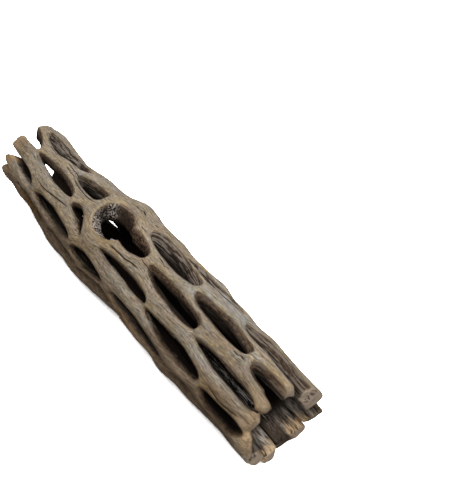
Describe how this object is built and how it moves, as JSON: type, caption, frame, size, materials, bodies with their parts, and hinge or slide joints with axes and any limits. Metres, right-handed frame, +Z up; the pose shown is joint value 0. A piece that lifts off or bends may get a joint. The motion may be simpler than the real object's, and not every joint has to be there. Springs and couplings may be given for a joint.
{
  "type": "cholla wood stick",
  "caption": "Hollow stick of weathered cholla cactus wood: a tube with a spiral lattice of long holes through its wall, a knot hole near one end and a worn flat underside.",
  "frame": {"origin": "centre of the bounding box, on the surface that the stick lies on", "axes": "+X along the stick towards the end with the sawn strands, -Y and up towards the pictured side, +Z up"},
  "size_m": [0.159, 0.0334, 0.0303],
  "materials": {
    "weathered_wood": "weathered grey-brown, matte, rough"
  },
  "bodies": {
    "root": {"cholla_wood": "weathered_wood"}
  },
  "joints": []
}
